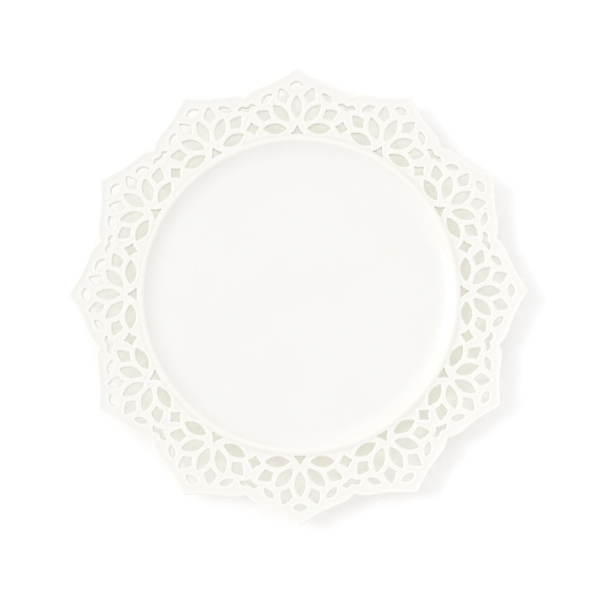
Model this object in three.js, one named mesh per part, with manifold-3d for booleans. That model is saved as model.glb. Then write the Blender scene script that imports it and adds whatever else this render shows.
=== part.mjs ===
// A round white porcelain plate. A shallow well with a coved wall rises to a rounded crest, and round
// it lies a pierced rim of pointed lobes, like lace. Each lobe is a fan of almond petals about a hub.
// Millimetres, +Z up. The origin is the middle of the foot, on the surface that the plate stands on.
import * as THREE from "three";
import { mergeVertices } from "three/addons/utils/BufferGeometryUtils.js";
import Module from "manifold-3d";

// Driving dimensions: the plate in plan.
const LOBES = 12;
const TIP_RADIUS = 110.8;
const NOTCH_RADIUS = 99.7;
const CREST_RADIUS = 76.5;
const RIM_START_RADIUS = 79;
const RIM_CURVE_END = 100;
const FOOT_RADIUS = 62;
const HUB_RADIUS = 81;
const STAR_RADIUS = 83.9;
const BAT_RADIUS = 94.3;

// Driving dimensions: heights and thicknesses.
const FOOT_HEIGHT = 4;
const FLOOR_THICKNESS = 3.6;
const COVE_RADIUS = 15;
const CREST_ROUND = 3.8;
const CREST_DROP = 0.12;
const UNDER_CURVE_START = 65;
const LACE_THICKNESS_START = 3.4;
const LACE_THICKNESS_END = 2.8;

// Slopes in degrees: where the cove meets the crest, and where the rim runs straight out to the tips.
const WALL_SLOPE = 32;
const RIM_SLOPE = 6;

// Neighbouring nodes of the one fired body keep this gap, so that no two meshes share a volume.
const GAP = 0.3;

// How finely round stretches are divided.
const DISH_SEGMENTS = 72;
const RIM_SEGMENTS = 48;
const OUTLINE_SEGMENTS = 7;
const CURVE_STEP = 2.4;

const sector = (2 * Math.PI) / LOBES;
const wallSlope = THREE.MathUtils.degToRad(WALL_SLOPE);
const floorTop = FOOT_HEIGHT + FLOOR_THICKNESS;
const floorRadius = CREST_RADIUS - (COVE_RADIUS + CREST_ROUND) * Math.sin(wallSlope);
const crestHeight = floorTop + (COVE_RADIUS + CREST_ROUND) * (1 - Math.cos(wallSlope));

const wasm = await Module();
wasm.setup();

// ---- solids from three.js geometry ----

// A closed three.js geometry as a manifold-3d solid.
function solidOf(geometry) {
  const bare = new THREE.BufferGeometry();
  bare.setAttribute("position", geometry.getAttribute("position"));
  bare.setIndex(geometry.index);
  const merged = mergeVertices(bare);
  return new wasm.Manifold(
    new wasm.Mesh({
      numProp: 3,
      vertProperties: merged.attributes.position.array,
      triVerts: new Uint32Array(merged.index.array),
    }),
  );
}

// A manifold-3d solid as a three.js geometry with flat facets.
function geometryOf(solid) {
  const mesh = solid.getMesh();
  const shared = new THREE.BufferGeometry();
  shared.setAttribute("position", new THREE.BufferAttribute(mesh.vertProperties, mesh.numProp));
  shared.setIndex(new THREE.BufferAttribute(mesh.triVerts, 1));
  const faceted = shared.toNonIndexed();
  faceted.computeVertexNormals();
  return faceted;
}

// A profile of [radius, height] points turned about the Z axis.
function turned(profile, segments) {
  const points = profile.map(([r, z]) => new THREE.Vector2(r, z));
  return new THREE.LatheGeometry(points, segments).rotateX(Math.PI / 2);
}

// Flat outlines in the XY plane drawn up into a prism taller than the plate.
function prism(shapes) {
  const settings = { depth: 3 * crestHeight, bevelEnabled: false, curveSegments: OUTLINE_SEGMENTS };
  return solidOf(new THREE.ExtrudeGeometry(shapes, settings).translate(0, 0, -crestHeight));
}

// ---- cross-section of the plate ----

// Points of a circle's arc from one angle to another, in degrees, both ends included.
function arc(centreR, centreZ, radius, fromDeg, toDeg, steps) {
  return Array.from({ length: steps + 1 }, (_, i) => {
    const angle = THREE.MathUtils.degToRad(fromDeg + ((toDeg - fromDeg) * i) / steps);
    return [centreR + radius * Math.cos(angle), centreZ + radius * Math.sin(angle)];
  });
}

// The rounded crest from one angle to another, in degrees. Its highest line is at 90.
function crestArc(fromDeg, toDeg, steps) {
  return arc(CREST_RADIUS, crestHeight - CREST_ROUND, CREST_ROUND, fromDeg, toDeg, steps);
}

// Height of the rim's upper face: level beside the crest, it curves up and then runs straight.
function rimTop(r) {
  const out = Math.max(0, r - RIM_START_RADIUS);
  const curved = RIM_CURVE_END - RIM_START_RADIUS;
  const run = out < curved ? (out * out) / (2 * curved) : out - curved / 2;
  return crestHeight - CREST_DROP + run * Math.tan(THREE.MathUtils.degToRad(RIM_SLOPE));
}

// Height of the rim's under face: the wall thins evenly from the crest to the tip.
function rimUnder(r) {
  const share = (r - CREST_RADIUS) / (TIP_RADIUS - CREST_RADIUS);
  return rimTop(r) - THREE.MathUtils.lerp(LACE_THICKNESS_START, LACE_THICKNESS_END, share);
}

// Height of the dish's under face: level inside the foot, then an even S-curve out to the rim.
function dishUnder(r) {
  const share = THREE.MathUtils.smoothstep(r, UNDER_CURVE_START, CREST_RADIUS);
  return THREE.MathUtils.lerp(FOOT_HEIGHT, rimUnder(CREST_RADIUS), share);
}

// ---- the dish: floor, cove and the inner half of the crest ----

function dishGeometry() {
  const edge = CREST_RADIUS - GAP / 2;
  const edgeAngle = 90 + THREE.MathUtils.radToDeg(GAP / 2 / CREST_ROUND);
  const cove = arc(floorRadius, floorTop + COVE_RADIUS, COVE_RADIUS, WALL_SLOPE - 90, -90, 6);
  const crest = crestArc(edgeAngle, 90 + WALL_SLOPE, 4).slice(0, -1);
  const underStations = Array.from({ length: 6 }, (_, i) =>
    THREE.MathUtils.lerp(UNDER_CURVE_START, edge, i / 5),
  );
  const under = underStations.map((r) => [r, dishUnder(r)]);
  return turned([[0, FOOT_HEIGHT], ...under, ...crest, ...cove, [0, floorTop]], DISH_SEGMENTS);
}

// ---- the foot ring: a low tapered ring under the floor ----

function footGeometry() {
  const top = FOOT_HEIGHT - GAP;
  const halfBase = 1.7;
  const halfRoot = 2.6;
  const ease = 0.4;
  const profile = [
    [FOOT_RADIUS - halfBase + ease, 0],
    [FOOT_RADIUS + halfBase - ease, 0],
    [FOOT_RADIUS + halfBase, ease],
    [FOOT_RADIUS + halfRoot, top],
    [FOOT_RADIUS - halfRoot, top],
    [FOOT_RADIUS - halfBase, ease],
    [FOOT_RADIUS - halfBase + ease, 0],
  ];
  return turned(profile, DISH_SEGMENTS);
}

// ---- outlines in the lace, for the lobe that points along +Y ----

// A closed outline through corners [x, y, sag]: the side that leaves each corner bows out by sag, or
// in where sag is negative. The corners run clockwise.
function bowed(corners) {
  const points = corners.flatMap(([x, y, sag], i) => {
    const [nextX, nextY] = corners[(i + 1) % corners.length];
    const length = Math.hypot(nextX - x, nextY - y);
    const reach = (2 * sag) / length;
    const side = new THREE.QuadraticBezierCurve(
      new THREE.Vector2(x, y),
      new THREE.Vector2((x + nextX) / 2 - reach * (nextY - y), (y + nextY) / 2 + reach * (nextX - x)),
      new THREE.Vector2(nextX, nextY),
    );
    return side.getPoints(Math.max(2, Math.round(length / CURVE_STEP))).slice(0, -1);
  });
  return new THREE.Shape(points);
}

// The outline turned clockwise by an angle in degrees about its own origin, then moved out along +Y,
// and at last swung clockwise about the plate's axis.
function placed(corners, angleDeg, distance, swingDeg = 0) {
  const centre = new THREE.Vector2();
  return bowed(
    corners.map(([x, y, sag]) => {
      const point = new THREE.Vector2(x, y).rotateAround(centre, -THREE.MathUtils.degToRad(angleDeg));
      point.y += distance;
      point.rotateAround(centre, -THREE.MathUtils.degToRad(swingDeg));
      return [point.x, point.y, sag];
    }),
  );
}

const petal = [
  [0, 5.1, 2.53],
  [0, 16.4, 2.53],
];

const kite = [
  [0, 13.7, -0.25],
  [-2.83, 16.4, 0.45],
  [0, 21.4, 0.45],
  [2.83, 16.4, -0.25],
];

const topLens = [
  [-3.2, 21.4, 1.9],
  [3.2, 21.4, 1.3],
];

const sideLens = [
  [-3.3, 20.9, 1.6],
  [3.3, 20.9, 1.2],
];

const triangle = [
  [0, 1.6, -0.35],
  [2.9, -2.6, -0.05],
  [-2.9, -2.6, -0.35],
];

const star = [
  [0, 3.1, -0.44],
  [3.1, 0, -0.44],
  [0, -3.1, -0.44],
  [-3.1, 0, -0.44],
];

const bat = [
  [0, 0.6, -0.15],
  [2.3, 1.5, 0.25],
  [4.4, 0, -0.55],
  [0, -1.9, -0.55],
  [-4.4, 0, 0.25],
  [-2.3, 1.5, -0.15],
];

// Every hole that touches one lobe. Stars and bats lie on the lines between lobes.
function lobeHoles() {
  const halfSector = THREE.MathUtils.radToDeg(sector / 2);
  return [
    ...[-90, -45, 0, 45, 90].map((angle) => placed(petal, angle, HUB_RADIUS)),
    ...[-67.5, -22.5, 22.5, 67.5].map((angle) => placed(kite, angle, HUB_RADIUS)),
    placed(topLens, 0, HUB_RADIUS),
    ...[-45, 45].map((angle) => placed(sideLens, angle, HUB_RADIUS)),
    placed(triangle, 0, HUB_RADIUS),
    ...[-halfSector, halfSector].map((swing) => placed(star, 0, STAR_RADIUS, swing)),
    ...[-halfSector, halfSector].map((swing) => placed(bat, 0, BAT_RADIUS, swing)),
  ];
}

// The lobe's outline: two straight sides along its neighbours, which meet near the plate's axis, and
// an ogee from each notch that eases over a shoulder and then rises to the point.
function lobeOutline() {
  const apex = GAP / 2 / Math.sin(sector / 2);
  const notchX = NOTCH_RADIUS * Math.sin(sector / 2) - GAP / 2 / Math.cos(sector / 2);
  const notchY = NOTCH_RADIUS * Math.cos(sector / 2);
  const shoulder = [21.1, 102.7];
  const flank = [15.3, 100.2];
  const shape = new THREE.Shape();
  shape.moveTo(0, apex);
  shape.lineTo(-notchX, notchY);
  shape.bezierCurveTo(-shoulder[0], shoulder[1], -flank[0], flank[1], 0, TIP_RADIUS);
  shape.bezierCurveTo(flank[0], flank[1], shoulder[0], shoulder[1], notchX, notchY);
  shape.lineTo(0, apex);
  return shape;
}

// The whole rim as a ring, from the outer half of the crest to past the tips.
function rimRing() {
  const outer = TIP_RADIUS + 2;
  const edgeAngle = 90 - THREE.MathUtils.radToDeg(GAP / 2 / CREST_ROUND);
  const crest = crestArc(82, edgeAngle, 2);
  const stations = [RIM_START_RADIUS, 85, 90, 95, RIM_CURVE_END, outer];
  const topFace = stations.map((r) => [r, rimTop(r)]).reverse();
  const underFace = [CREST_RADIUS + GAP / 2, ...stations].map((r) => [r, rimUnder(r)]);
  const profile = [...underFace, ...topFace, ...crest];
  return solidOf(turned([...profile, profile[0]], RIM_SEGMENTS));
}

function lobeGeometry() {
  return geometryOf(rimRing().intersect(prism(lobeOutline())).subtract(prism(lobeHoles())));
}

// ---- the plate ----

function glaze() {
  return new THREE.MeshStandardMaterial({ color: 0xf8f7f3, roughness: 0.22, metalness: 0 });
}

function bisque() {
  return new THREE.MeshStandardMaterial({ color: 0xeee8dc, roughness: 0.85, metalness: 0 });
}

function node(name, geometry, material) {
  const mesh = new THREE.Mesh(geometry, material);
  mesh.name = name;
  return mesh;
}

const plate = new THREE.Group();
plate.add(node("dish", dishGeometry(), glaze()));
plate.add(node("foot_ring", footGeometry(), bisque()));

// lace_lobe_01 points along +Y, and the others follow clockwise as seen from above.
const lobe = lobeGeometry();
for (let i = 0; i < LOBES; i++) {
  const mesh = node(`lace_lobe_${String(i + 1).padStart(2, "0")}`, lobe, glaze());
  mesh.rotation.z = -i * sector;
  plate.add(mesh);
}

export default plate;
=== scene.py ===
import math
from collections import namedtuple

import bpy
import numpy as np
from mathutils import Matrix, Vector
from mathutils.geometry import delaunay_2d_cdt
from mathutils.kdtree import KDTree


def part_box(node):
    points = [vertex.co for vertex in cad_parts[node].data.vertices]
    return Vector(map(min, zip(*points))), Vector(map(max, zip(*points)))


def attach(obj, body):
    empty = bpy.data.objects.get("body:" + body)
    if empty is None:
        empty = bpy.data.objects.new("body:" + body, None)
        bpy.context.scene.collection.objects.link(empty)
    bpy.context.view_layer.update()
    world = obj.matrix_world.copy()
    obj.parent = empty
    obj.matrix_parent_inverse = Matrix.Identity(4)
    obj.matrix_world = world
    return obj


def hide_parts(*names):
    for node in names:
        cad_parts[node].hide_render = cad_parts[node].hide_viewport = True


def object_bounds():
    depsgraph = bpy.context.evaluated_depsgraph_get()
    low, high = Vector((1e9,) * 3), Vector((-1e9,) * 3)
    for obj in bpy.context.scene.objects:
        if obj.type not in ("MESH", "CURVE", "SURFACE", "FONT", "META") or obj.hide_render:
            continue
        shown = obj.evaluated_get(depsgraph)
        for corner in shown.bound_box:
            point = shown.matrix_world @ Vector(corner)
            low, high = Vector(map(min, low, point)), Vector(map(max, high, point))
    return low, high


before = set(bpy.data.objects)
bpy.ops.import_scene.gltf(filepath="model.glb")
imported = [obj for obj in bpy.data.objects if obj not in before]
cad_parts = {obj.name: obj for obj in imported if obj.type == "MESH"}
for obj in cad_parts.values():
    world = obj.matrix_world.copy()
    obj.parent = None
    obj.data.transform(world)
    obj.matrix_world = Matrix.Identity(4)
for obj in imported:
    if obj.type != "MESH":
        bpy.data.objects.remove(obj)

MM = 0.001
cad_low, cad_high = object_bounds()
dish_low, dish_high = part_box("dish")
foot_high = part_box("foot_ring")[1]

# Sizes that the frame gives.
LOBES = 12
HALF_SECTOR = math.pi / LOBES
CAD_GAP = 0.3
TIP_RADIUS = cad_high.y / MM
CREST_RADIUS = dish_high.y / MM + CAD_GAP / 2
FOOT_HEIGHT = dish_low.z / MM
FOOT_ROOT_RADIUS = foot_high.y / MM

# Sizes of the turned body, in millimetres, as the CAD has them. The cove and the crest are arcs that
# meet at the wall's slope. Outside the crest the rim drops a little, over a flank that is as round on
# top as the crest, and then curves up from level to its own slope.
FLOOR_TOP = FOOT_HEIGHT + 3.6
COVE_RADIUS = 15.0
CREST_ROUND = 3.8
WALL_SLOPE_DEG = 32.0
WALL_SLOPE = math.radians(WALL_SLOPE_DEG)
FLOOR_RADIUS = CREST_RADIUS - (COVE_RADIUS + CREST_ROUND) * math.sin(WALL_SLOPE)
CREST_HEIGHT = FLOOR_TOP + (COVE_RADIUS + CREST_ROUND) * (1 - math.cos(WALL_SLOPE))
CREST_DROP = 0.12
CREST_FLANK = math.sqrt(6 * CREST_ROUND * CREST_DROP)
RIM_START_RADIUS = 79.0
RIM_CURVE_END = 100.0
RIM_SLOPE = math.tan(math.radians(6.0))
LACE_THICKNESS = (3.4, 2.8)
UNDER_CURVE_START = 65.0

# Sizes of the foot, in millimetres: half widths at its base and its sides, and its roundings.
FOOT_RADIUS = 62.0
FOOT_HALF_BASE = 1.55
FOOT_HALF_SIDE = 1.95
FOOT_EDGE_ROUND = 0.45
FILLET_REACH = 0.9
FILLET_HEIGHT = 1.0

# Sizes of the lace, in millimetres.
HUB_RADIUS = 81.0
STAR_RADIUS = 83.9
BAT_RADIUS = 94.3
NOTCH_RADIUS = 99.7
EDGE_STEP = 0.5
CORNER_STEPS = 4
TIP_CORNER = 1.1
NOTCH_CORNER = 0.5
TIP_LOSS = 0.35
HOLE_ROUND = 0.65
OUTLINE_ROUND = 0.5
UNDER_ROUND = 0.4
HOLE_DRAFT = 0.1
OUTLINE_SETBACK = 0.2
OUTLINE_BEAD = 0.05
OUTLINE_BEAD_WIDTH = 2.0

# The webs sink between raised bars: how deep, and where the sinking starts and how wide it fades in,
# from an opening or the outline and from the crest, in millimetres.
WEB_SINK = 0.16
SINK_FROM_EDGE = 0.95
SINK_EDGE_FADE = 0.9
SINK_FROM_CREST = 1.6
SINK_CREST_FADE = 1.2

# The mesh: steps round the axis for each lobe, and in millimetres the rings of points on the dish's
# flat faces, the rows of points outside the crest and along the ridges, and how close points may lie
# to the lobe's sides, to a row's own edge and to each other.
UNDER_RINGS = (0, 10, 25, 40, 52, 58, 62)
FLOOR_RINGS = (64, 58, 50, 35, 20, 8, 0)
ANGLE_STEPS = 30
SEGMENTS = LOBES * ANGLE_STEPS
CREST_ROWS_ABOVE = [0.35, 0.7, 1.05, 1.4, 1.75, 2.15, 2.7]
CREST_ROWS_BELOW = [0.6, 1.3, 2.1]
RIDGE_ROWS = (0.95, 1.35)
WEB_STEP = 0.75
SIDE_CLEARANCE = 0.12
ROW_SLACK = 0.004
ON_SIDE = 1e-6
SIDE_BOW = 1e-3
POINTS_AT_ONCE = 500
POINTS_LOOKED_BACK = 60

# A value from 0 to 1 that paints light and shade into the glaze's colour: a painted highlight on the crest
# and along free edges, partly thinner glaze there, and a painted shade in the hollow beside the crest, partly
# pooled glaze. Given: its value on a flat face, how much the crest adds and the hollow beside it takes away,
# and in millimetres how wide the bands along edges, crest and hollow are.
GLAZE_AND_PAINTED_LIGHT = "glaze_and_painted_light"
FLAT_GLAZE_LIGHT = 0.5
CREST_AND_HOLLOW_GAIN = 0.4
EDGE_LIGHT_FULL = 0.7
EDGE_LIGHT_FADE = 1.3
CREST_BAND_INSIDE = 2.2
CREST_BAND_RISE = 1.2
CREST_BAND_FALL = 0.8
HOLLOW_AT = 1.5
HOLLOW_WIDTH = 1.0

# The camera: where it looks, in metres, how far away it is, its turn in degrees and its lens.
CAMERA_AIM = (0.0005, -0.0037, 0.012)
CAMERA_DISTANCE = 0.6705
CAMERA_TURN = (6.64, -0.32, -0.52)
CAMERA_LENS = 83.6

# The studio's light: sides are an azimuth clockwise from +Y and an elevation, in degrees.
WINDOW_SIDE = (284, 46)
WINDOW_WIDTH_DEG = 20
WINDOW_STRENGTH = 0.5
SKY_SIDE = (318, 0)
SKY_STRENGTH = 0.965
SKY_SHARE = 0.13
# The table's glow is painted light: a warm emission, full under the lace and dimmed beyond it, stands in for
# light bounced beneath the plate.
TABLE_COLOUR = (0.79, 0.795, 0.86, 1)
TABLE_GLOW = (0.268, 0.256, 0.182, 1)
TABLE_DIM = 0.78
TABLE_DIM_RADIUS = TIP_RADIUS - 6


# ---- heights of the body ----

def smoothstep(t):
    t = np.clip(t, 0.0, 1.0)
    return t * t * (3 - 2 * t)


def rim_plane(r):
    """Height of the rim without the crest's drop: level at first, then curving up to an even slope."""
    out = np.maximum(np.asarray(r, float) - RIM_START_RADIUS, 0)
    curved = RIM_CURVE_END - RIM_START_RADIUS
    run = np.where(out < curved, out**2 / (2 * curved), out - curved / 2)
    return CREST_HEIGHT - CREST_DROP + RIM_SLOPE * run


def rim_top(r):
    """The rim's upper face with the outer flank of the crest, as round on top as the inner one."""
    out = (np.asarray(r, float) - CREST_RADIUS) / CREST_FLANK
    return rim_plane(r) + CREST_DROP * (1 - smoothstep(out))


def rim_under(r):
    """The rim's under face: the wall thins out evenly to the tips."""
    share = (np.asarray(r, float) - CREST_RADIUS) / (TIP_RADIUS - CREST_RADIUS)
    thickness = LACE_THICKNESS[0] + (LACE_THICKNESS[1] - LACE_THICKNESS[0]) * share
    return rim_plane(r) - thickness


def slope_of(height, r):
    delta = 1e-4
    return float((height(r + delta) - height(r - delta)) / (2 * delta))


def glaze_and_painted_light(r, to_edge):
    """Painted light and shade in the glaze, from 0 in the hollow round the crest, a painted shade that partly
    stands for pooled glaze, to 1 on raised edges, a painted highlight that partly stands for thinner glaze.
    """
    out = r - CREST_RADIUS
    rise = smoothstep((out + CREST_BAND_INSIDE) / CREST_BAND_RISE)
    fall = 1 - smoothstep(out / CREST_BAND_FALL)
    crest = CREST_AND_HOLLOW_GAIN * rise * fall
    hollow = CREST_AND_HOLLOW_GAIN * np.exp(-((out - HOLLOW_AT) / HOLLOW_WIDTH) ** 2)
    edge = (1 - FLAT_GLAZE_LIGHT) * (1 - smoothstep((to_edge - EDGE_LIGHT_FULL) / EDGE_LIGHT_FADE))
    return np.clip(FLAT_GLAZE_LIGHT + crest - hollow + edge, 0, 1)


# ---- meshes with exact normals ----

# A closed shape: its points in millimetres, the faces of its skin, the hidden cut faces where it
# meets its neighbours, the skin's normal at each point, and the light and shade painted into its glaze there.
Shape = namedtuple("Shape", "points skin cuts normals thin")


def make_piece(name, shape, node, material):
    """One closed mesh in the plate's frame, shown instead of a CAD node."""
    mesh = bpy.data.meshes.new(name)
    mesh.from_pydata((shape.points * MM).tolist(), [], shape.skin + shape.cuts)
    mesh.validate()
    mesh.polygons.foreach_set("use_smooth", [True] * len(mesh.polygons))
    corner_normals = [tuple(shape.normals[i]) for face in shape.skin for i in face]
    for polygon in mesh.polygons[len(shape.skin):]:
        corner_normals += [tuple(polygon.normal)] * polygon.loop_total
    mesh.normals_split_custom_set(corner_normals)
    mesh.materials.append(material)
    # The light and shade painted into the glaze, kept at each point.
    mesh.attributes.new(GLAZE_AND_PAINTED_LIGHT, "FLOAT", "POINT").data.foreach_set("value", shape.thin)
    piece = bpy.data.objects.new(name, mesh)
    bpy.context.scene.collection.objects.link(piece)
    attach(piece, "root")
    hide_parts(node)


def face_normals_at_points(points, faces):
    """Area-weighted normals of the faces round each point."""
    triangles = [(face[0], face[k], face[k + 1]) for face in faces for k in range(1, len(face) - 1)]
    triangles = np.array(triangles)
    a, b, c = (points[triangles[:, k]] for k in range(3))
    crosses = np.cross(b - a, c - a)
    total = np.zeros_like(points)
    for k in range(3):
        np.add.at(total, triangles[:, k], crosses)
    return total


def unit(vectors):
    return vectors / np.maximum(np.linalg.norm(vectors, axis=1, keepdims=True), 1e-12)


# ---- turned pieces ----

def turned(profile, outward, closed):
    """A profile of (radius, height) and its normals turned about the axis, counter-clockwise in the
    (radius, height) plane. Unless it is closed, it starts and ends on the axis."""
    angles = np.arange(SEGMENTS) * 2 * math.pi / SEGMENTS
    cos, sin = np.cos(angles), np.sin(angles)
    rows = profile if closed else profile[1:-1]
    row_normals = outward if closed else outward[1:-1]
    points = [np.column_stack([r * cos, r * sin, np.full(SEGMENTS, z)]) for r, z in rows]
    normals = [np.column_stack([nr * cos, nr * sin, np.full(SEGMENTS, nz)]) for nr, nz in row_normals]
    faces = []
    last = len(rows)
    for i in range(last if closed else last - 1):
        here, there = i * SEGMENTS, ((i + 1) % last) * SEGMENTS
        for j in range(SEGMENTS):
            k = (j + 1) % SEGMENTS
            faces.append((here + j, here + k, there + k, there + j))
    if not closed:
        low, high = last * SEGMENTS, last * SEGMENTS + 1
        points.append(np.array([[0, 0, profile[0][1]], [0, 0, profile[-1][1]]]))
        normals.append(np.array([[0, 0, -1.0], [0, 0, 1.0]]))
        top = (last - 1) * SEGMENTS
        faces += [(low, (j + 1) % SEGMENTS, j) for j in range(SEGMENTS)]
        faces += [(high, top + j, top + (j + 1) % SEGMENTS) for j in range(SEGMENTS)]
    return np.concatenate(points), np.concatenate(normals), faces


def skin_and_cuts(faces, cut_row):
    """The faces of a turned piece, with the ring of faces that starts at that row as its cut."""
    first = cut_row * SEGMENTS
    return faces[:first] + faces[first + SEGMENTS:], faces[first:first + SEGMENTS]


def profile_normals(profile, closed):
    """Outward normals of a counter-clockwise profile, from the neighbours of each point."""
    profile = np.asarray(profile)
    if closed:
        along = np.roll(profile, -1, axis=0) - np.roll(profile, 1, axis=0)
    else:
        along = np.gradient(profile, axis=0)
    return unit(np.column_stack([along[:, 1], -along[:, 0]]))


def arc(centre, radius, from_deg, to_deg, steps, height=None):
    """Points along a circle's arc, or an ellipse's where its height differs from its radius."""
    angles = np.radians(np.linspace(from_deg, to_deg, steps + 1))
    rise = radius if height is None else height
    return np.column_stack([centre[0] + radius * np.cos(angles), centre[1] + rise * np.sin(angles)])


def dish_under():
    """The dish's under face: flat inside the foot, then an even S-curve out to the rim."""
    share = np.linspace(0, 1, 17)
    radii = UNDER_CURVE_START + share * (CREST_RADIUS - UNDER_CURVE_START)
    heights = FOOT_HEIGHT + smoothstep(share) * (rim_under(CREST_RADIUS) - FOOT_HEIGHT)
    flat = [(r, FOOT_HEIGHT) for r in UNDER_RINGS]
    return np.concatenate([flat, np.column_stack([radii, heights])])


def dish_top():
    """The inner half of the crest, the cove and the flat floor, from the crest inwards."""
    crest = arc((CREST_RADIUS, CREST_HEIGHT - CREST_ROUND), CREST_ROUND, 90, 90 + WALL_SLOPE_DEG, 10)
    cove = arc((FLOOR_RADIUS, FLOOR_TOP + COVE_RADIUS), COVE_RADIUS, WALL_SLOPE_DEG - 90, -90, 16)
    floor = [(r, FLOOR_TOP) for r in FLOOR_RINGS]
    return np.concatenate([crest, cove[1:], floor])


def make_dish(material):
    under, top = dish_under(), dish_top()
    profile = np.concatenate([under, top])
    normals = profile_normals(profile, closed=False)
    end_slope = slope_of(rim_under, CREST_RADIUS)
    normals[len(under) - 1] = np.array([end_slope, -1]) / math.hypot(end_slope, 1)
    normals[len(under)] = (0, 1)
    points, point_normals, faces = turned(profile, normals, closed=False)
    # The lobes meet the dish between the last point below and the first above. The profile's first
    # point is on the axis and has no row.
    skin, cuts = skin_and_cuts(faces, len(under) - 2)
    thin = glaze_and_painted_light(np.linalg.norm(points[:, :2], axis=1), np.inf)
    make_piece("dish_glazed", Shape(points, skin, cuts, point_normals, thin), "dish", material)


def make_foot(material):
    """The foot: a rounded bearing edge, tapered sides and fillets that run out into the dish."""
    edge = FOOT_EDGE_ROUND
    outer = arc((FOOT_RADIUS + FOOT_HALF_BASE - edge, edge), edge, -90, -8, 5)
    reach = FOOT_ROOT_RADIUS + FILLET_REACH
    fillet_centre = (reach, FOOT_HEIGHT - FILLET_HEIGHT)
    fillet_width = reach - FOOT_RADIUS - FOOT_HALF_SIDE
    fillet = arc(fillet_centre, fillet_width, 180, 90, 6, height=FILLET_HEIGHT)
    right = np.concatenate([outer, fillet])
    left = np.column_stack([2 * FOOT_RADIUS - right[::-1, 0], right[::-1, 1]])
    profile = np.concatenate([right, left])
    normals = profile_normals(profile, closed=True)
    # Both fillets end level with the dish's under face, between their last points.
    normals[len(right) - 1:len(right) + 1] = (0, -1)
    points, point_normals, faces = turned(profile, normals, closed=True)
    skin, cuts = skin_and_cuts(faces, len(right) - 1)
    shape = Shape(points, skin, cuts, point_normals, np.full(len(points), FLAT_GLAZE_LIGHT))
    make_piece("foot_ring_bare", shape, "foot_ring", material)


# ---- outlines in the lace ----

# Each outline runs clockwise through corners (x, y, sag): the side that leaves a corner bows out by
# sag, or in where sag is negative. Its y axis points away from the hub or the plate's axis. The
# second value is how far from each corner its rounding starts.
PETAL = [(0, 4.95, 2.53), (0, 16.55, 2.53)], 0.45
KITE = [(0, 13.6, -0.25), (-2.9, 16.4, 0.45), (0, 21.6, 0.45), (2.9, 16.4, -0.25)], 0.55
TOP_LENS = [(-3.3, 21.4, 1.9), (3.3, 21.4, 1.3)], 0.5
SIDE_LENS = [(-3.4, 20.9, 1.6), (3.4, 20.9, 1.2)], 0.5
TRIANGLE = [(0, 1.8, -0.35), (3.05, -2.65, -0.05), (-3.05, -2.65, -0.35)], 0.65
STAR = [(0, 3.4, -0.44), (3.4, 0, -0.44), (0, -3.4, -0.44), (-3.4, 0, -0.44)], 0.85
BAT = [(0, 0.5, -0.15), (2.3, 1.6, 0.25), (4.6, 0, -0.55), (0, -2.05, -0.55), (-4.6, 0, 0.25),
       (-2.3, 1.6, -0.15)], 0.6
LOBE_SHOULDER = (21.1, 102.7)
LOBE_FLANK = (15.3, 100.2)

# A stretch of free edge with the material on its left, the directions into the material, the radius
# of its rounding on the upper face, and how far into the material it lies on the under face.
Edge = namedtuple("Edge", "points inward rounding under_shift")


def turn(points, angle):
    """Points turned clockwise by an angle in radians about the origin."""
    cos, sin = math.cos(angle), math.sin(angle)
    points = np.asarray(points, float)
    return np.column_stack([points[:, 0] * cos + points[:, 1] * sin, points[:, 1] * cos - points[:, 0] * sin])


def parabola(start, control, end, steps):
    t = np.linspace(0, 1, steps + 1)[:, None]
    start, control, end = (np.asarray(p, float) for p in (start, control, end))
    return (1 - t) ** 2 * start + 2 * t * (1 - t) * control + t**2 * end


def bowed_sides(corners):
    sides = []
    for (x0, y0, sag), (x1, y1, _) in zip(corners, corners[1:] + corners[:1]):
        reach = 2 * sag / math.hypot(x1 - x0, y1 - y0)
        control = ((x0 + x1) / 2 - reach * (y1 - y0), (y0 + y1) / 2 + reach * (x1 - x0))
        sides.append(parabola((x0, y0), control, (x1, y1), 80))
    return sides


def between(side, start, end):
    """Points at even steps along a dense side, from start past its beginning to end before its end."""
    lengths = np.r_[0, np.cumsum(np.linalg.norm(np.diff(side, axis=0), axis=1))]
    count = max(2, round((lengths[-1] - start - end) / EDGE_STEP))
    stations = np.linspace(start, lengths[-1] - end, count + 1)
    return np.column_stack([np.interp(stations, lengths, side[:, k]) for k in (0, 1)])


def rounded_loop(sides, rounds):
    """A closed loop along the sides. The corner that ends each side is rounded from that far before
    it to that far after it."""
    before = rounds[-1:] + rounds[:-1]
    runs = [between(side, a, b) for side, a, b in zip(sides, before, rounds)]
    loop = []
    for side, run, following in zip(sides, runs, runs[1:] + runs[:1]):
        loop += [run[:-1], parabola(run[-1], side[-1], following[0], CORNER_STEPS)[:-1]]
    return np.concatenate(loop)


def left_of(loop):
    along = np.roll(loop, -1, axis=0) - np.roll(loop, 1, axis=0)
    return unit(np.column_stack([-along[:, 1], along[:, 0]]))


def hole_edge(outline, distance, angle_deg=0.0, swing=0.0):
    corners, rounding = outline
    loop = rounded_loop(bowed_sides(corners), [rounding] * len(corners))
    loop = turn(loop, math.radians(angle_deg)) + (0, distance)
    loop = turn(loop, swing)
    return Edge(loop, left_of(loop), HOLE_ROUND, -HOLE_DRAFT)


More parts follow.
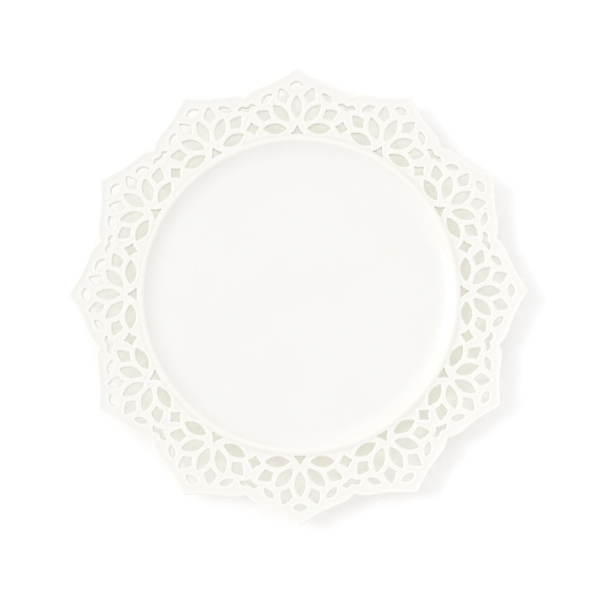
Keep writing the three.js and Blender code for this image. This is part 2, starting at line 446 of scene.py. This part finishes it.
def outline_edge():
    """The free edge of all twelve lobes as one counter-clockwise loop."""
    notch = turn([(0, NOTCH_RADIUS)], HALF_SECTOR)[0]
    t = np.linspace(0, 1, 161)[:, None]
    tip = np.array([0, TIP_RADIUS + TIP_LOSS])
    rising = ((1 - t) ** 3 * notch + 3 * t * (1 - t) ** 2 * np.array(LOBE_SHOULDER)
              + 3 * t**2 * (1 - t) * np.array(LOBE_FLANK) + t**3 * tip)
    falling = rising[::-1] * (-1, 1)
    sides = [turn(side, -2 * HALF_SECTOR * i) for i in range(LOBES) for side in (rising, falling)]
    loop = rounded_loop(sides, [TIP_CORNER, NOTCH_CORNER] * LOBES)
    return Edge(loop, left_of(loop), OUTLINE_ROUND, OUTLINE_SETBACK)


def beyond(points, side):
    """How far points lie outside the lobe's straight side: side is 1 on the right, -1 on the left."""
    return side * points[:, 0] * math.cos(HALF_SECTOR) - points[:, 1] * math.sin(HALF_SECTOR)


def part_in_lobe(edge, sides=(1, -1)):
    """The stretch of a loop that lies within the lobe, from one straight side to a straight side."""
    inside = np.all([beyond(edge.points, side) < ON_SIDE for side in sides], axis=0)
    inside &= edge.points[:, 1] > 0
    first = next(i for i in range(len(inside)) if inside[i] and not inside[i - 1])
    order = np.roll(np.arange(len(inside)), -first)
    order = order[inside[order]]
    return edge._replace(points=edge.points[order], inward=edge.inward[order])


PETALS = [hole_edge(PETAL, HUB_RADIUS, angle) for angle in (-90, -45, 0, 45, 90)]
KITES = [hole_edge(KITE, HUB_RADIUS, angle) for angle in (-67.5, -22.5, 22.5, 67.5)]
LENSES = [hole_edge(TOP_LENS, HUB_RADIUS)] + [hole_edge(SIDE_LENS, HUB_RADIUS, a) for a in (-45, 45)]
WHOLE_HOLES = PETALS + KITES + LENSES + [hole_edge(TRIANGLE, HUB_RADIUS)]
STARS = [hole_edge(STAR, STAR_RADIUS, swing=side * HALF_SECTOR) for side in (1, -1)]
BATS = [hole_edge(BAT, BAT_RADIUS, swing=side * HALF_SECTOR) for side in (1, -1)]
HOLES = WHOLE_HOLES + STARS + BATS
OUTLINE = outline_edge()


# ---- distances and heights on a lobe ----

def distance_to(points, edges):
    """Distance from each point of the lobe to the nearest of some closed edges, a few points at a
    time. Stretches of edge far from the lobe are left out."""
    starts = np.concatenate([edge.points for edge in edges])
    along = np.concatenate([np.roll(edge.points, -1, axis=0) for edge in edges]) - starts
    near = starts[:, 1] > NOTCH_RADIUS / 2
    starts, along = starts[near], along[near]
    lengths = (along**2).sum(1)
    nearest = []
    for few in np.array_split(points, len(points) // POINTS_AT_ONCE + 1):
        away = few[:, None, :] - starts
        share = np.clip((away * along).sum(2) / lengths, 0, 1)
        gap = away - share[:, :, None] * along
        nearest.append(np.sqrt((gap**2).sum(2).min(1)))
    return np.concatenate(nearest)


def drop(distance, radius):
    """How far a quarter-round edge lies under its face, at a distance in from the edge."""
    left = np.clip(radius - distance, 0, radius)
    return radius - np.sqrt(radius**2 - left**2)


def top_height(points, to_hole, to_outline):
    r = np.linalg.norm(points, axis=1)
    z = rim_top(r)
    rounding = np.maximum(drop(to_hole, HOLE_ROUND), drop(to_outline, OUTLINE_ROUND))
    from_crest = smoothstep((r - CREST_RADIUS - SINK_FROM_CREST) / SINK_CREST_FADE)
    web = smoothstep((np.minimum(to_hole, to_outline) - SINK_FROM_EDGE) / SINK_EDGE_FADE)
    across = np.clip(to_outline / OUTLINE_BEAD_WIDTH, 0, 1)
    bead = OUTLINE_BEAD * np.sin(math.pi * across) ** 2
    return z - rounding - WEB_SINK * web * from_crest + bead


def under_height(points, to_hole, to_outline):
    r = np.linalg.norm(points, axis=1)
    rounding = np.maximum(drop(to_hole, UNDER_ROUND), drop(to_outline, UNDER_ROUND))
    return rim_under(r) + rounding


# ---- one face of a lobe, as a triangulation ----

def quarter_rows(radius, steps):
    return [radius * (1 - math.cos(math.pi / 2 * k / steps)) for k in range(1, steps + 1)]


def shifted(edge, shift):
    return edge._replace(points=edge.points + shift * edge.inward)


class LobeFace:
    """The points of a lobe's upper or under face: rows that follow each free edge, points along the
    straight cuts, and a grid in the webs."""

    def __init__(self, upper):
        self.upper = upper
        self.points = []
        self.rim = []      # constraint edges that bound the face
        self.edges = {}    # point numbers along each named stretch, material on the left
        self.holes = [self.placed(edge) for edge in HOLES]
        self.outline = [self.placed(OUTLINE)]
        self.crest_rows = CREST_ROWS_ABOVE if upper else CREST_ROWS_BELOW

    def placed(self, edge):
        """The edge where this face has it: draft and setback move it on the under face."""
        return edge if self.upper else shifted(edge, edge.under_shift)

    def rows(self, edge):
        radius = edge.rounding if self.upper else UNDER_ROUND
        return quarter_rows(radius, 4 if self.upper else 2)

    def add(self, points):
        first = sum(len(p) for p in self.points)
        self.points.append(np.asarray(points, float).reshape(-1, 2))
        return list(range(first, first + len(self.points[-1])))

    def bound(self, numbers):
        self.rim += list(zip(numbers, numbers[1:]))

    def add_edges(self):
        for i, edge in enumerate(WHOLE_HOLES):
            numbers = self.add(self.placed(edge).points)
            self.bound(numbers + numbers[:1])
            self.edges[f"hole {i}"] = numbers + numbers[:1]
        for name, pair in (("star", STARS), ("bat", BATS)):
            for side, edge in zip(("right", "left"), pair):
                part = part_in_lobe(self.placed(edge), (1 if side == "right" else -1,))
                numbers = self.add(part.points)
                self.bound(numbers)
                self.edges[f"{name} {side}"] = numbers
        part = part_in_lobe(self.outline[0])
        numbers = self.add(part.points)
        self.bound(numbers)
        self.edges["outline"] = numbers

    def add_inner_arc(self):
        angles = np.linspace(-HALF_SECTOR, HALF_SECTOR, ANGLE_STEPS + 1)
        ring = np.column_stack([np.sin(angles), np.cos(angles)])
        numbers = self.add(CREST_RADIUS * ring)
        self.bound(numbers)
        self.edges["inner"] = numbers
        return ring

    def add_cuts(self):
        """The straight sides, each in three stretches: under the star, from star to bat, and out to
        the notch."""
        every = np.concatenate(self.points)
        inner, outline = self.edges["inner"], self.edges["outline"]
        crest = self.crest_rows
        hole_rows, outline_rows = self.rows(HOLES[0]), self.rows(OUTLINE)
        for side, name in ((1, "right"), (-1, "left")):
            star, bat = self.edges[f"star {name}"], self.edges[f"bat {name}"]
            low, high = (0, -1) if side == 1 else (-1, 0)
            stretches = [
                (inner[-1] if side == 1 else inner[0], star[low], crest, hole_rows),
                (star[high], bat[low], hole_rows, hole_rows),
                (bat[high], outline[low], hole_rows, outline_rows),
            ]
            direction = np.array([side * math.sin(HALF_SECTOR), math.cos(HALF_SECTOR)])
            for k, (start, end, rows_up, rows_down) in enumerate(stretches):
                a, b = every[start] @ direction, every[end] @ direction
                rising = [a + row for row in rows_up]
                falling = [b - row for row in reversed(rows_down)]
                room = falling[0] - rising[-1]
                count = max(1, round(room / WEB_STEP))
                middle = [rising[-1] + room * j / count for j in range(1, count)]
                radii = np.array(rising + middle + falling)
                numbers = [start] + self.add(radii[:, None] * direction) + [end]
                self.bound(numbers)
                self.edges[f"cut {name} {k}"] = numbers if side == 1 else numbers[::-1]

    def add_rows(self):
        """Rows that follow the free edges inwards, kept only where their own edge is the nearest."""
        for edge in self.holes + self.outline:
            for row in self.rows(edge):
                self.add_free(edge.points + row * edge.inward, least=row)

    def add_free(self, points, least, spacing=0.0):
        """Adds the points that lie in the material, at least that far from every free edge and, where
        a spacing is given, from the points there are."""
        clear = np.all([beyond(points, side) < -SIDE_CLEARANCE for side in (1, -1)], axis=0)
        clear &= (points[:, 1] > 0) & (np.linalg.norm(points, axis=1) > CREST_RADIUS + SIDE_CLEARANCE)
        points = points[clear]
        if not len(points):
            return
        away = distance_to(points, self.holes + self.outline)
        points = points[(away > least - ROW_SLACK) & self.in_material(points)]
        if spacing:
            points = self.spaced(points, spacing)
        self.add(points)

    def spaced(self, points, spacing):
        every = np.concatenate(self.points)
        tree = KDTree(len(every) + len(points))
        for i, (x, y) in enumerate(every):
            tree.insert((x, y, 0), i)
        tree.balance()
        kept = []
        for x, y in points:
            if tree.find((x, y, 0))[2] > spacing and all(
                (x - u) ** 2 + (y - v) ** 2 > spacing**2 for u, v in kept[-POINTS_LOOKED_BACK:]
            ):
                kept.append((x, y))
        return np.array(kept).reshape(-1, 2)

    def in_material(self, points):
        odd = np.zeros(len(points), bool)
        for edge in self.holes + self.outline:
            a = edge.points
            b = np.roll(a, -1, axis=0)
            x, y = points[:, 0, None], points[:, 1, None]
            straddles = (a[:, 1] > y) != (b[:, 1] > y)
            with np.errstate(divide="ignore", invalid="ignore"):
                meets = (b[:, 0] - a[:, 0]) * (y - a[:, 1]) / (b[:, 1] - a[:, 1]) + a[:, 0]
            odd ^= (straddles & (x < meets)).sum(1) % 2 == 1
        return odd

    def add_crest_rows(self, ring):
        for row in self.crest_rows:
            self.add_free((CREST_RADIUS + row) * ring[1:-1], least=0.1, spacing=0.12)

    def add_ridges(self):
        if self.upper:
            for edge in self.holes + self.outline:
                for row in RIDGE_ROWS:
                    self.add_free(edge.points + row * edge.inward, least=row - 0.05, spacing=0.3)

    def add_grid(self):
        step = WEB_STEP if self.upper else 2 * WEB_STEP
        rows = np.arange(CREST_RADIUS - 5, TIP_RADIUS, step * math.sqrt(3) / 2)
        half = TIP_RADIUS * math.sin(HALF_SECTOR)
        columns = np.arange(-half, half, step)
        grid = np.array([(x + (i % 2) * step / 2, y) for i, y in enumerate(rows) for x in columns])
        self.add_free(grid, least=0.4, spacing=0.55 * step)

    def build(self):
        """The face's points, its triangles and the light and shade painted into the glaze at each point."""
        self.add_edges()
        ring = self.add_inner_arc()
        self.add_cuts()
        self.add_rows()
        self.add_crest_rows(ring)
        self.add_ridges()
        self.add_grid()
        plan = np.concatenate(self.points)
        bowed = self.with_bowed_sides(plan) - (0, HUB_RADIUS)
        made = delaunay_2d_cdt([Vector(p) for p in bowed], self.rim, [], 0, 1e-9)
        assert len(made[0]) == len(plan), (len(made[0]), len(plan))
        triangles = np.array(made[2])
        middles = plan[triangles].mean(1)
        inside = self.in_material(middles)
        inside &= np.all([beyond(middles, side) < -ON_SIDE for side in (1, -1)], axis=0)
        chord = self.below_inner_arc(middles)
        triangles = triangles[inside & ~chord]
        to_hole = distance_to(plan, self.holes)
        to_outline = distance_to(plan, self.outline)
        height = top_height if self.upper else under_height
        z = height(plan, to_hole, to_outline)
        if not self.upper:
            triangles = triangles[:, ::-1]
        thin = glaze_and_painted_light(np.linalg.norm(plan, axis=1), np.minimum(to_hole, to_outline))
        return np.column_stack([plan, z]), triangles.tolist(), thin

    def with_bowed_sides(self, plan):
        """The points with the straight sides bowed out by a hair, so that every point on them is a
        corner and no triangle can lie flat along them."""
        bowed = plan.copy()
        for side in (1, -1):
            on_side = np.abs(beyond(plan, side)) < ON_SIDE
            r = np.linalg.norm(plan[on_side], axis=1)
            hair = SIDE_BOW * (r - r.min()) * (r.max() - r)
            bowed[on_side] += np.outer(hair, (side * math.cos(HALF_SECTOR), -math.sin(HALF_SECTOR)))
        return bowed

    def below_inner_arc(self, middles):
        """Whether points lie on the dish's side of the chords along the inner arc."""
        step = 2 * HALF_SECTOR / ANGLE_STEPS
        angle = np.arctan2(middles[:, 0], middles[:, 1]) / step
        chord_middle = (np.floor(angle) + 0.5) * step
        reach = middles[:, 0] * np.sin(chord_middle) + middles[:, 1] * np.cos(chord_middle)
        return reach < CREST_RADIUS * math.cos(step / 2)


def zipped(low, high, points):
    """Triangles between two rows of points that run the same way, stepping along whichever row has
    come less far."""
    far_low, far_high = ([math.dist(points[i], points[row[0]]) for i in row] for row in (low, high))
    faces = []
    i = j = 0
    while i + 1 < len(low) or j + 1 < len(high):
        if j + 1 == len(high) or (i + 1 < len(low) and far_low[i + 1] < far_high[j + 1]):
            faces.append([low[i], low[i + 1], high[j]])
            i += 1
        else:
            faces.append([low[i], high[j + 1], high[j]])
            j += 1
    return faces


def lobe_mesh():
    """The shape of the lobe that points along +Y."""
    upper, lower = LobeFace(True), LobeFace(False)
    top_points, top_faces, top_glaze_light = upper.build()
    under_points, under_faces, under_glaze_light = lower.build()
    shift = len(top_points)
    points = np.concatenate([top_points, under_points])
    skin = top_faces + [[i + shift for i in face] for face in under_faces]
    cuts = []
    for name, top in upper.edges.items():
        under = [i + shift for i in lower.edges[name]]
        if name.startswith("cut"):
            cuts += zipped(under, top, points)
            continue
        quads = [[under[k], under[k + 1], top[k + 1], top[k]] for k in range(len(top) - 1)]
        if name == "inner":
            cuts += quads
        else:
            skin += quads
    normals = face_normals_at_points(points, skin)
    for side in (1, -1):
        across = np.array([side * math.cos(HALF_SECTOR), -math.sin(HALF_SECTOR), 0])
        on_side = np.abs(beyond(points[:, :2], side)) < ON_SIDE
        normals[on_side] -= np.outer(normals[on_side] @ across, across)
    slope = slope_of(rim_under, CREST_RADIUS)
    for i in upper.edges["inner"]:
        normals[i] = (0, 0, 1)
    for i in lower.edges["inner"]:
        x, y, _ = points[i + shift] / CREST_RADIUS
        normals[i + shift] = (slope * x, slope * y, -1)
    return Shape(points, skin, cuts, unit(normals), np.concatenate([top_glaze_light, under_glaze_light]))


def make_lobes(material):
    first = lobe_mesh()
    for i in range(LOBES):
        points, normals = (
            np.column_stack([turn(vectors[:, :2], 2 * HALF_SECTOR * i), vectors[:, 2]])
            for vectors in (first.points, first.normals)
        )
        name = f"lace_lobe_{i + 1:02d}"
        lobe = first._replace(points=points, normals=normals)
        make_piece(name + "_glazed", lobe, name, material)


# ---- materials ----

# Colours of the glaze and the bare body, where two mix from place to place, and sizes in millimetres.
GLAZE_BODY = (0.866, 0.858, 0.826, 1), (0.872, 0.865, 0.836, 1)
# Painted shade for the hollow beside the crest, partly pooled glaze, and below it a painted highlight for
# raised edges and the crest, partly thinner glaze.
GLAZE_POOLED_AND_SHADED = (0.83, 0.815, 0.765, 1)
GLAZE_THIN_AND_LIT = (0.9, 0.887, 0.848, 1)
KILN_SPECK = (0.45, 0.38, 0.3, 1)
BARE_BODY = (0.74, 0.7, 0.61, 1), (0.84, 0.81, 0.74, 1)
GLAZE_LINE = (0.8, 0.73, 0.61, 1)
FOOT_GLAZE = (0.87, 0.862, 0.83, 1)
SPECK_SPACING = 9.0
GLAZE_LINE_WANDER = 0.25


class Nodes:
    """A material's node tree, with short calls that add a node, set its sockets and link it."""

    def __init__(self, name):
        self.material = bpy.data.materials.new(name)
        self.material.use_nodes = True
        self.tree = self.material.node_tree
        self.shader = self.tree.nodes["Principled BSDF"]
        self.place = self.add("ShaderNodeTexCoord").outputs["Object"]

    def add(self, kind, settings=(), **inputs):
        node = self.tree.nodes.new(kind)
        for name, value in dict(settings).items():
            setattr(node, name, value)
        for name, value in inputs.items():
            self.feed(node.inputs[name.replace("_", " ")], value)
        return node

    def feed(self, socket, value):
        if isinstance(value, bpy.types.NodeSocket):
            self.tree.links.new(value, socket)
        else:
            socket.default_value = value

    def noise(self, size_mm, detail=2.0, offset=0.0):
        """A smooth noise from 0 to 1 whose lumps are about that many millimetres across."""
        moved = self.add("ShaderNodeMapping", Vector=self.place, Location=(offset, offset, offset))
        return self.add("ShaderNodeTexNoise", Vector=moved.outputs["Vector"], Scale=1 / (size_mm * MM),
                        Detail=detail).outputs["Fac"]

    def ramp(self, value, low, high, to_low=0.0, to_high=1.0):
        """A value from low to high carried over to another range, and held at its ends."""
        node = self.add("ShaderNodeMapRange", {"interpolation_type": "SMOOTHSTEP"}, Value=value)
        for name, number in zip(("From Min", "From Max", "To Min", "To Max"), (low, high, to_low, to_high)):
            node.inputs[name].default_value = number
        return node.outputs["Result"]

    def mix(self, share, first, second):
        node = self.add("ShaderNodeMix", {"data_type": "RGBA"}, Factor=share)
        for socket, value in zip((s for s in node.inputs if s.type == "RGBA"), (first, second)):
            self.feed(socket, value)
        return next(s for s in node.outputs if s.type == "RGBA")

    def maths(self, operation, first, second):
        node = self.add("ShaderNodeMath", {"operation": operation})
        self.feed(node.inputs[0], first)
        self.feed(node.inputs[1], second)
        return node.outputs["Value"]

    def bump(self, height, depth_mm, before=None):
        """A bump whose height runs over that many millimetres."""
        node = self.add("ShaderNodeBump", Height=height, Distance=depth_mm * MM, Strength=1.0)
        if before is not None:
            self.feed(node.inputs["Normal"], before)
        return node.outputs["Normal"]

    def finish(self, **inputs):
        for name, value in inputs.items():
            self.feed(self.shader.inputs[name.replace("_", " ")], value)
        return self.material


def glaze_material():
    """White porcelain under a clear satin glaze. Raised edges and the crest are painted paler, a painted
    highlight that partly stands for thinner glaze; the hollow beside the crest is painted warmer and darker,
    a painted shade that partly stands for pooled glaze. It has a faint orange peel, soft clouds and a few
    kiln specks."""
    nodes = Nodes("porcelain_glaze")
    clouds = nodes.noise(30, detail=3)
    body = nodes.mix(nodes.ramp(clouds, 0.35, 0.65), *GLAZE_BODY)
    thin = nodes.add("ShaderNodeAttribute", {"attribute_name": GLAZE_AND_PAINTED_LIGHT}).outputs["Fac"]
    # Painted shade in the hollow beside the crest and a painted highlight on the crest and raised edges, each
    # partly glaze pooling or thinning.
    pooled_and_shaded = nodes.mix(nodes.ramp(thin, 0.0, FLAT_GLAZE_LIGHT), GLAZE_POOLED_AND_SHADED, body)
    pale = nodes.mix(nodes.ramp(thin, FLAT_GLAZE_LIGHT, 1.0), pooled_and_shaded, GLAZE_THIN_AND_LIT)
    cells = nodes.add("ShaderNodeTexVoronoi", Vector=nodes.place, Scale=1 / (SPECK_SPACING * MM))
    colour = nodes.mix(nodes.ramp(cells.outputs["Distance"], 0.012, 0.02), KILN_SPECK, pale)
    roughness = nodes.ramp(nodes.noise(14, offset=3.0), 0.3, 0.7, 0.26, 0.34)
    waves = nodes.bump(nodes.noise(11, offset=7.0), 0.035)
    peel = nodes.bump(nodes.noise(1.6, detail=1), 0.006, waves)
    return nodes.finish(Base_Color=colour, Roughness=roughness, Normal=peel, IOR=1.5)


def foot_material():
    """The foot's glaze stops, at a warm wandering line, above the gritty, matt bearing edge."""
    nodes = Nodes("bare_foot")
    height = nodes.add("ShaderNodeSeparateXYZ", Vector=nodes.place).outputs["Z"]
    wander = nodes.ramp(nodes.noise(9), 0.3, 0.7, -GLAZE_LINE_WANDER * MM, GLAZE_LINE_WANDER * MM)
    line = nodes.maths("ADD", height, wander)
    glazed = nodes.ramp(line, 1.15 * MM, 1.35 * MM)
    grit = nodes.noise(0.35, detail=4)
    bare = nodes.mix(nodes.ramp(grit, 0.35, 0.65), *BARE_BODY)
    edged = nodes.mix(nodes.ramp(line, 0.95 * MM, 1.2 * MM), bare, GLAZE_LINE)
    colour = nodes.mix(glazed, edged, FOOT_GLAZE)
    roughness = nodes.ramp(glazed, 0.0, 1.0, 0.85, 0.3)
    rough_grit = nodes.maths("MULTIPLY", grit, nodes.ramp(glazed, 0.0, 1.0, 1.0, 0.08))
    normal = nodes.bump(rough_grit, 0.06)
    return nodes.finish(Base_Color=colour, Roughness=roughness, Normal=normal)


# ---- studio ----

def make_floor():
    """A white table that glows: painted light, a warm glow full under the lace and weaker outside it, stands
    in for light bounced beneath the plate and keeps the shade under it pale and warm.
    """
    bpy.ops.mesh.primitive_plane_add(size=8)
    floor = bpy.context.object
    floor.name = "white_table"
    nodes = Nodes("white_table")
    out = nodes.add("ShaderNodeVectorMath", {"operation": "LENGTH"})
    nodes.feed(out.inputs[0], nodes.place)
    painted_glow_strength = nodes.ramp(out.outputs["Value"], STAR_RADIUS * MM, TABLE_DIM_RADIUS * MM, 1.0, TABLE_DIM)
    nodes.finish(Base_Color=TABLE_COLOUR, Roughness=0.9, Specular_IOR_Level=0.0,
                 Emission_Color=TABLE_GLOW, Emission_Strength=painted_glow_strength)
    floor.data.materials.append(nodes.material)


def towards(azimuth_deg, elevation_deg):
    """A unit vector. The azimuth runs clockwise from +Y as seen from above."""
    azimuth, elevation = math.radians(azimuth_deg), math.radians(elevation_deg)
    level = math.cos(elevation)
    return Vector((level * math.sin(azimuth), level * math.cos(azimuth), math.sin(elevation)))


def make_sky():
    """Even white light from all sides, a little stronger from one of them."""
    world = bpy.data.worlds.new("studio")
    world.use_nodes = True
    tree = world.node_tree
    direction = tree.nodes.new("ShaderNodeTexCoord").outputs["Generated"]
    along = tree.nodes.new("ShaderNodeVectorMath")
    along.operation = "DOT_PRODUCT"
    along.inputs[1].default_value = towards(*SKY_SIDE) * SKY_STRENGTH * SKY_SHARE
    tree.links.new(direction, along.inputs[0])
    total = tree.nodes.new("ShaderNodeMath")
    total.inputs[1].default_value = SKY_STRENGTH
    tree.links.new(along.outputs["Value"], total.inputs[0])
    background = tree.nodes["Background"]
    background.inputs["Color"].default_value = (1, 1, 1, 1)
    tree.links.new(total.outputs["Value"], background.inputs["Strength"])
    bpy.context.scene.world = world


def make_window():
    """The one soft light with a direction, like a wide window far off."""
    lamp = bpy.data.lights.new("window", "SUN")
    lamp.angle = math.radians(WINDOW_WIDTH_DEG)
    lamp.energy = WINDOW_STRENGTH
    holder = bpy.data.objects.new("window", lamp)
    holder.rotation_euler = towards(*WINDOW_SIDE).to_track_quat("Z", "Y").to_euler()
    bpy.context.scene.collection.objects.link(holder)


def make_camera():
    """A long lens that looks down on the plate, leaning a little towards its -Y side."""
    camera = bpy.data.cameras.new("camera")
    camera.sensor_width = 36
    camera.lens = CAMERA_LENS
    holder = bpy.data.objects.new("camera", camera)
    holder.rotation_euler = [math.radians(angle) for angle in CAMERA_TURN]
    away = holder.rotation_euler.to_matrix() @ Vector((0, 0, CAMERA_DISTANCE))
    holder.location = Vector(CAMERA_AIM) + away
    bpy.context.scene.collection.objects.link(holder)
    bpy.context.scene.camera = holder


glaze = glaze_material()
make_camera()
make_floor()
make_sky()
make_window()
make_dish(glaze)
make_foot(foot_material())
make_lobes(glaze)

scene = bpy.context.scene
scene.view_settings.view_transform = "Standard"
